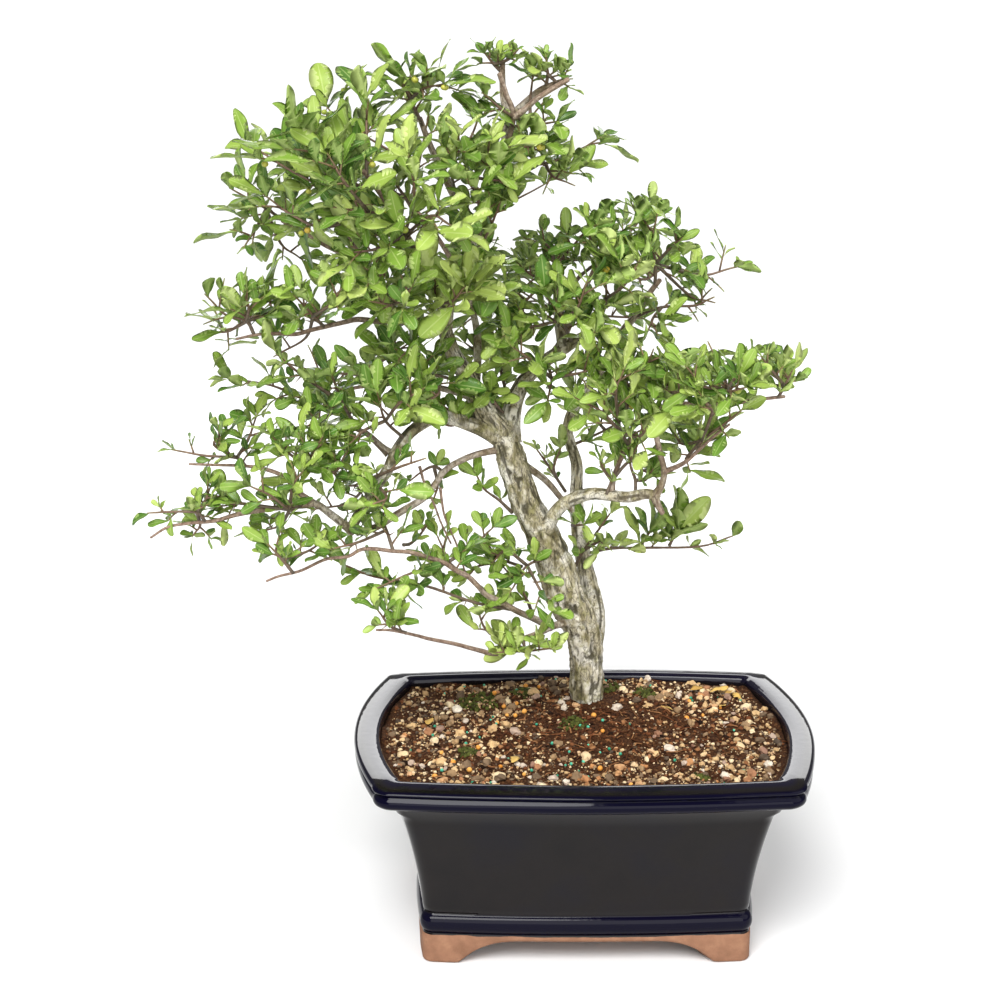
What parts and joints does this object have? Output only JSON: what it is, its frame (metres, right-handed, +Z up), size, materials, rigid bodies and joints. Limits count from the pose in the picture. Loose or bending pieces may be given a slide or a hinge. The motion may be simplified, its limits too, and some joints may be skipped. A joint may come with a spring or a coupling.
{
  "type": "firethorn bonsai",
  "caption": "Firethorn bonsai with a leaning trunk, a second stem and a broad leafy crown, planted in a glazed rectangular footed pot.",
  "frame": {"origin": "bottom centre of the box round the whole object, on the surface the pot stands on", "axes": "+Z up, +X along the pot's long side to the right as seen from the front, -Y towards the front"},
  "size_m": [0.396, 0.2504, 0.5341],
  "materials": {
    "glazed_clay": "glossy near-black navy glaze, bare buff clay on the feet and under the band",
    "screen_plastic": "matt dark plastic mesh",
    "potting_soil": "crumbly peat with grit, moss and feed pellets",
    "bark": "rough fissured grey-brown bark with algae",
    "leaves": "glossy small evergreen leaves on reddish twigs"
  },
  "bodies": {
    "root": {"pot": "glazed_clay", "drain_screen_left": "screen_plastic", "drain_screen_right": "screen_plastic", "soil": "potting_soil", "trunk": "bark", "apex_left": "leaves", "apex_low": "leaves", "apex_right": "leaves", "bar_inner": "leaves", "bar_mid": "leaves", "bar_tip": "leaves", "base_bright": "leaves", "bright_centre": "leaves", "crown_back_high": "leaves", "crown_back_left": "leaves", "crown_back_right": "leaves", "crown_back_top": "leaves", "crown_far_left": "leaves", "crown_front": "leaves", "crown_front_left": "leaves", "crown_front_mid": "leaves", "crown_heart": "leaves", "crown_left_back": "leaves", "crown_left_tip": "leaves", "crown_right": "leaves", "crown_top_left": "leaves", "crown_top_mid": "leaves", "elbow_up": "leaves", "fan_high": "leaves", "fan_low": "leaves", "fan_shoot": "leaves", "fan_tip": "leaves", "far_left_near": "leaves", "far_left_tip": "leaves", "fork_under": "leaves", "inner_shoot": "leaves", "left_b_near": "leaves", "left_b_tip": "leaves", "left_mid_back": "leaves", "left_mid_front": "leaves", "left_mid_low": "leaves", "left_mid_twig": "leaves", "low_shoot": "leaves", "lowest_tip": "leaves", "mid_back": "leaves", "mid_left": "leaves", "mid_top": "leaves", "pad_back": "leaves", "pad_low": "leaves", "pad_mid": "leaves", "pad_near": "leaves", "pad_tip": "leaves", "right_back_low": "leaves", "right_back_top": "leaves", "right_crown_far": "leaves", "right_crown_front": "leaves", "right_crown_heart": "leaves", "right_crown_low": "leaves", "right_crown_mid": "leaves", "right_crown_top": "leaves"}
  },
  "joints": []
}
